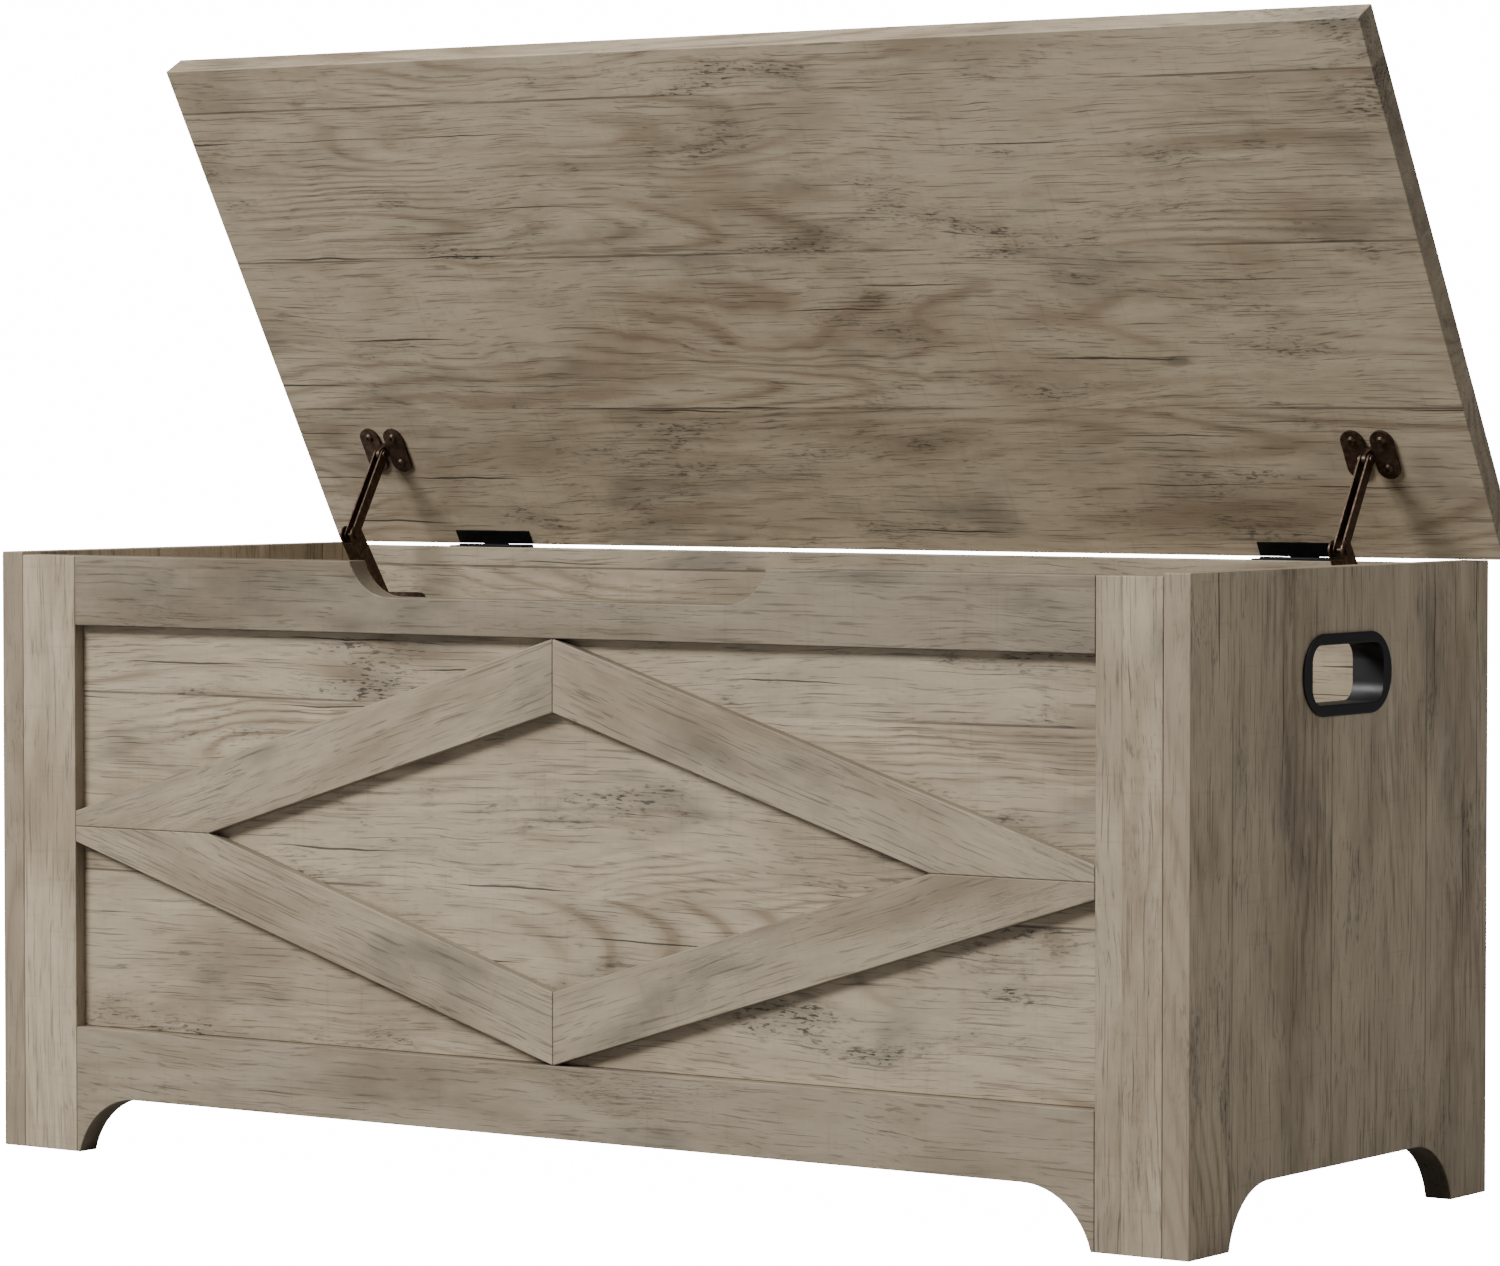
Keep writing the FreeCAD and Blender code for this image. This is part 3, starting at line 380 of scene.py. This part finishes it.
# Each board's grain, place in the print, wear, tone and how far its edges take EDGE.
BOARDS = {
    # The lid's small edge amount leaves its lit front edge light: painted light.
    "lid_board": ("lid", 1.4, 0.9, 1.10, 0.15),
    "front_top_rail": ("along", 2.0, 0.3, 0.59, 0.35),
    "front_bottom_rail": ("along", 3.0, 0.3, 0.78, 0.35),
    "front_panel": ("along", 4.0, 1.0, 0.96, 0.3),
    "back_panel": ("along", 5.0, 0.9, 0.90, 0.12),
    "bottom_panel": ("flat", 6.0, 0.9, 0.90, 0.12),
    # The side panels' high tone is painted light on their shaded outer faces; their high
    # edge amount paints their front edges darker again.
    "left_side_panel": ("side", 7.0, 0.70, 1.31, 0.65),
    "right_side_panel": ("side", 8.3, 0.70, 1.33, 0.65),
    "left_front_stile": ("upright", 9.0, 0.3, 1.12, 0.45),
    "right_front_stile": ("upright", 10.0, 0.3, 0.95, 0.45),
    "upper_left_diamond_strip": ("rising", 11.0, 0.1, 0.82, 0.45),
    "upper_right_diamond_strip": ("falling", 12.0, 0.1, 0.82, 0.45),
    "lower_left_diamond_strip": ("falling", 13.0, 0.1, 0.82, 0.45),
    "lower_right_diamond_strip": ("rising", 14.0, 0.1, 0.82, 0.45),
    "left_bottom_cleat": ("flat", 15.0, 0.5, 0.90, 0.12),
    "right_bottom_cleat": ("flat", 16.0, 0.5, 0.90, 0.12),
}


def beech(name):
    """Pale fluted dowels."""
    n = Nodes(name)
    fibre = n.noise(n.place(), *NOISE["beech"])
    colour = n.mix(fibre, srgb(196, 158, 112), srgb(222, 190, 146))
    n.link(colour, n.shader.inputs["Base Color"])
    n.shader.inputs["Roughness"].default_value = BEECH_ROUGH
    n.bump(fibre, BEECH_RELIEF)
    return n.material


# ---------------------------------------------------------------- plastic and metal

# What marks and mottle add to the roughness; relief as height in metres and strength.
PLASTIC_MARKS_ROUGH = 0.18
PLASTIC_RELIEF = (0.00006, 0.6)
STEEL_MOTTLE_ROUGH = 0.22
STEEL_RELIEF = (0.00004, 0.6)


def moulded_plastic(name, dark, light, rough):
    """Plastic with a fine moulded grain and faint handling marks."""
    n = Nodes(name)
    place = n.place()
    marks = n.noise(place, *NOISE["plastic_marks"])
    colour = n.mix(n.step(marks, *STEP["plastic_marks"]), dark, light)
    n.link(colour, n.shader.inputs["Base Color"])
    roughness = n.math("MULTIPLY_ADD", marks, PLASTIC_MARKS_ROUGH, rough)
    n.link(roughness, n.shader.inputs["Roughness"])
    n.bump(n.noise(place, *NOISE["plastic_grain"]), *PLASTIC_RELIEF)
    return n.material


def coated_steel(name, dark, light, metal, rough):
    """Coated or plated steel: mottled colour, fine orange peel, worn spots."""
    n = Nodes(name)
    place = n.place()
    mottle = n.noise(place, *NOISE["steel_mottle"])
    colour = n.mix(n.step(mottle, *STEP["steel_mottle"]), dark, light)
    n.link(colour, n.shader.inputs["Base Color"])
    roughness = n.math("MULTIPLY_ADD", mottle, STEEL_MOTTLE_ROUGH, rough)
    n.link(roughness, n.shader.inputs["Roughness"])
    n.shader.inputs["Metallic"].default_value = metal
    n.bump(n.noise(place, *NOISE["steel_peel"]), *STEEL_RELIEF)
    return n.material


def dress(node, material):
    mesh = frame["nodes"][node].data
    mesh.materials.clear()
    mesh.materials.append(material)


def dress_all():
    for number, (node, board) in enumerate(BOARDS.items()):
        dress(node, weathered_wood(f"wood_{number}", *board))
    slots = {
        "plain_wood": beech("beech"),
        "black_plastic": moulded_plastic(
            "black_plastic", srgb(20, 20, 22), srgb(29, 29, 31), 0.40
        ),
        "nylon": moulded_plastic("nylon", srgb(205, 200, 188), srgb(220, 216, 206), 0.5),
        "black_steel": coated_steel(
            "black_steel", srgb(18, 18, 19), srgb(30, 29, 28), 0.6, 0.35
        ),
        "bronze_steel": coated_steel(
            "bronze_steel", srgb(70, 56, 46), srgb(100, 82, 68), 0.75, 0.34
        ),
        "plain_steel": coated_steel(
            "plain_steel", srgb(165, 166, 170), srgb(190, 190, 192), 1.0, 0.28
        ),
        "cast_zinc": coated_steel(
            "cast_zinc", srgb(128, 128, 132), srgb(160, 160, 162), 1.0, 0.42
        ),
    }
    for entry in frame["record"]["subparts"]:
        if entry["node"] not in BOARDS:
            dress(entry["node"], slots[entry["material_slot"]])


# ---------------------------------------------------------------- stage

FLOOR_SIZE = 60
FLOOR_GREYS = ((0.28, 0.28, 0.28, 1), (0.31, 0.31, 0.31, 1))
FLOOR_ROUGH = 0.9
FLOOR_GLOW = 16.0
BACKDROP = 16.0
AMBIENT = 0.13
AIM = (0, 0, 0.3)

# Each light's place, width and height, and watts.
LIGHTS = {
    "key": ((-2.3, -4.2, 3.7), (2.4, 1.6), 450),
    "overhead": ((0.2, -0.9, 3.4), (1.8, 1.2), 45),
    "side_fill": ((4.5, -0.5, 1.6), (2.4, 2.0), 24),
    "back_fill": ((-1.8, 4.2, 2.4), (2.4, 2.0), 130),
}

CAMERA_PLACE = (2.3088, -3.2567, 0.5305)
CAMERA_DOWN = 2.2  # degrees below level
CAMERA_TURN = 35.134  # degrees round from straight ahead
LENS = 136.0
SENSOR = 36


def make_floor():
    """Pale floor, lit through from below as in a product studio."""
    n = Nodes("floor_paint")
    colour = n.mix(n.noise(n.place(), *NOISE["floor"]), *FLOOR_GREYS)
    n.link(colour, n.shader.inputs["Base Color"])
    n.shader.inputs["Roughness"].default_value = FLOOR_ROUGH
    n.shader.inputs["Emission Color"].default_value = (1, 1, 1, 1)
    seen = n.add("ShaderNodeLightPath").outputs["Is Camera Ray"]
    glow = n.math("MULTIPLY", seen, FLOOR_GLOW)
    n.link(glow, n.shader.inputs["Emission Strength"])
    bpy.ops.mesh.primitive_plane_add(size=FLOOR_SIZE)
    floor = bpy.context.object
    floor.name = "floor"
    floor.data.materials.append(n.material)


def make_light(name, place, size, power):
    lamp = bpy.data.lights.new(name, "AREA")
    lamp.shape = "RECTANGLE"
    lamp.size, lamp.size_y = size
    lamp.energy = power
    light = bpy.data.objects.new(name, lamp)
    light.location = place
    towards = Vector(AIM) - Vector(place)
    light.rotation_euler = towards.to_track_quat("-Z", "Y").to_euler()
    bpy.context.scene.collection.objects.link(light)


def make_world():
    """Even white surroundings: dim as light, bright as the backdrop that is seen."""
    world = bpy.data.worlds.new("studio")
    world.use_nodes = True
    tree = world.node_tree
    background = tree.nodes["Background"]
    background.inputs["Color"].default_value = (1, 1, 1, 1)
    seen = tree.nodes.new("ShaderNodeLightPath").outputs["Is Camera Ray"]
    strength = tree.nodes.new("ShaderNodeMapRange")
    strength.inputs["To Min"].default_value = AMBIENT
    strength.inputs["To Max"].default_value = BACKDROP
    tree.links.new(seen, strength.inputs["Value"])
    tree.links.new(strength.outputs[0], background.inputs["Strength"])
    bpy.context.scene.world = world


def make_camera():
    """Long lens, a little above the box's top, off its right front corner."""
    camera = bpy.data.cameras.new("camera")
    camera.sensor_width = SENSOR
    camera.lens = LENS
    view = bpy.data.objects.new("camera", camera)
    view.location = CAMERA_PLACE
    view.rotation_euler = (math.radians(90 - CAMERA_DOWN), 0, math.radians(CAMERA_TURN))
    bpy.context.scene.collection.objects.link(view)
    bpy.context.scene.camera = view


def make_stage():
    make_floor()
    for name, (place, size, power) in LIGHTS.items():
        make_light(name, place, size, power)
    make_world()
    make_camera()


dress_all()
make_stage()
